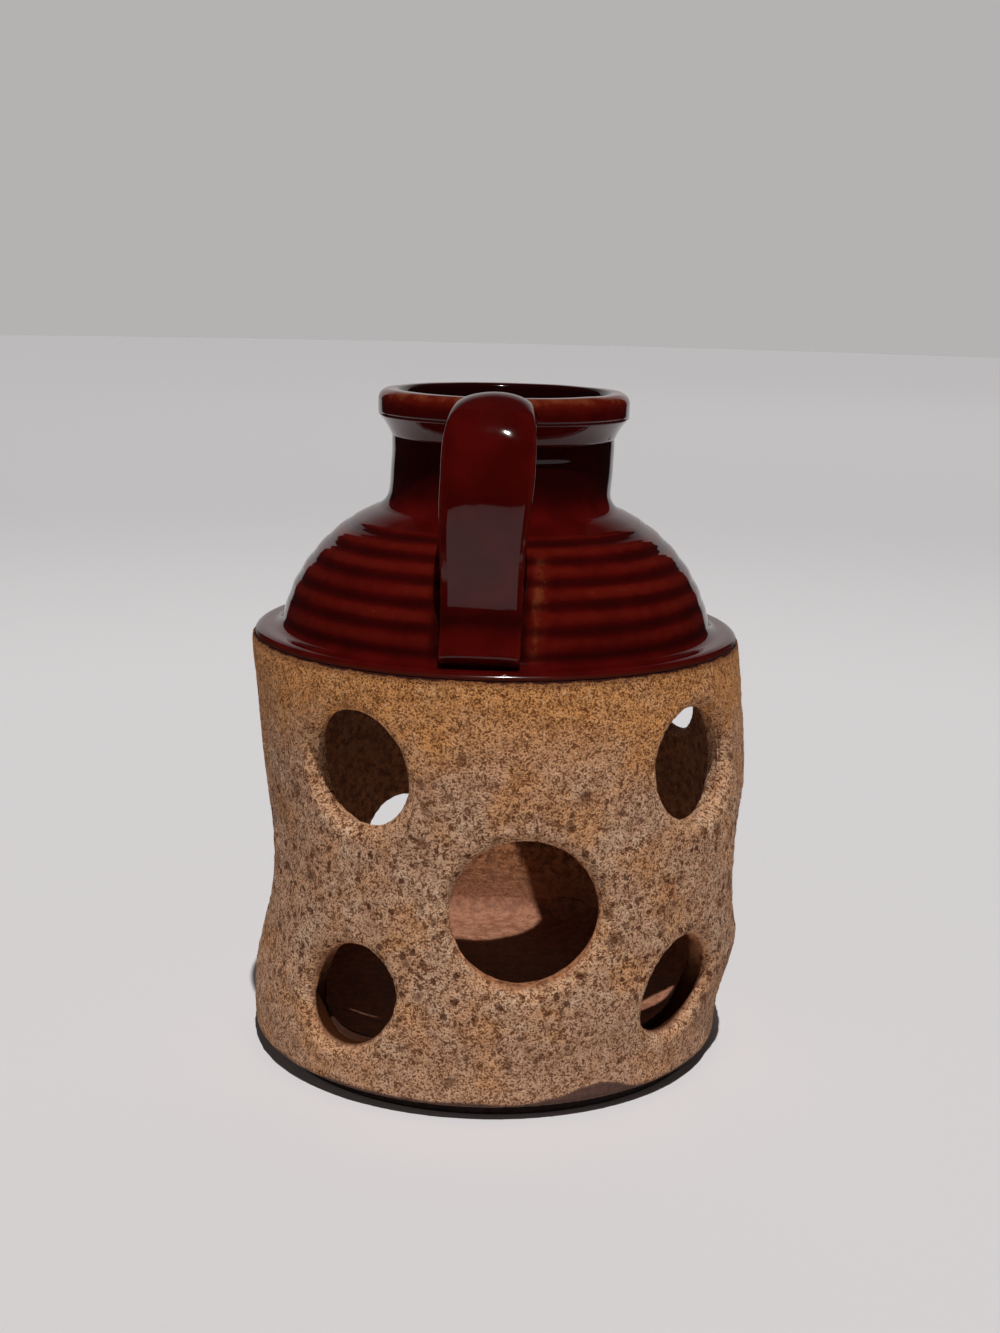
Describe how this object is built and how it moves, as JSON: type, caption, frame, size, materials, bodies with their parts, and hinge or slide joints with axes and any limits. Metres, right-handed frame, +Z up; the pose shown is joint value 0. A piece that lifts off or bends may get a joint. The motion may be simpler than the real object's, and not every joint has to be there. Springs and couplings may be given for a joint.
{
  "type": "pierced jug",
  "caption": "Small stoneware jug with a drum body pierced by staggered round holes, a ribbed dome shoulder, a short neck, a rolled rim and one strap handle.",
  "frame": {"origin": "on the table plane at the centre of the foot ring", "axes": "+Z up along the jug's axis, the handle towards -Y"},
  "size_m": [0.1242, 0.122, 0.1674],
  "materials": {
    "bare_clay": "unglazed, matt",
    "speckled_glaze": "rough sandy glaze with dark specks and pits",
    "gloss_glaze": "deep red-brown gloss"
  },
  "bodies": {
    "root": {"foot_ring": "bare_clay", "floor_slab": "bare_clay", "pierced_wall": "speckled_glaze", "ribbed_shoulder": "gloss_glaze", "neck_collar": "gloss_glaze", "rolled_rim": "gloss_glaze", "strap_handle": "gloss_glaze"}
  },
  "joints": []
}
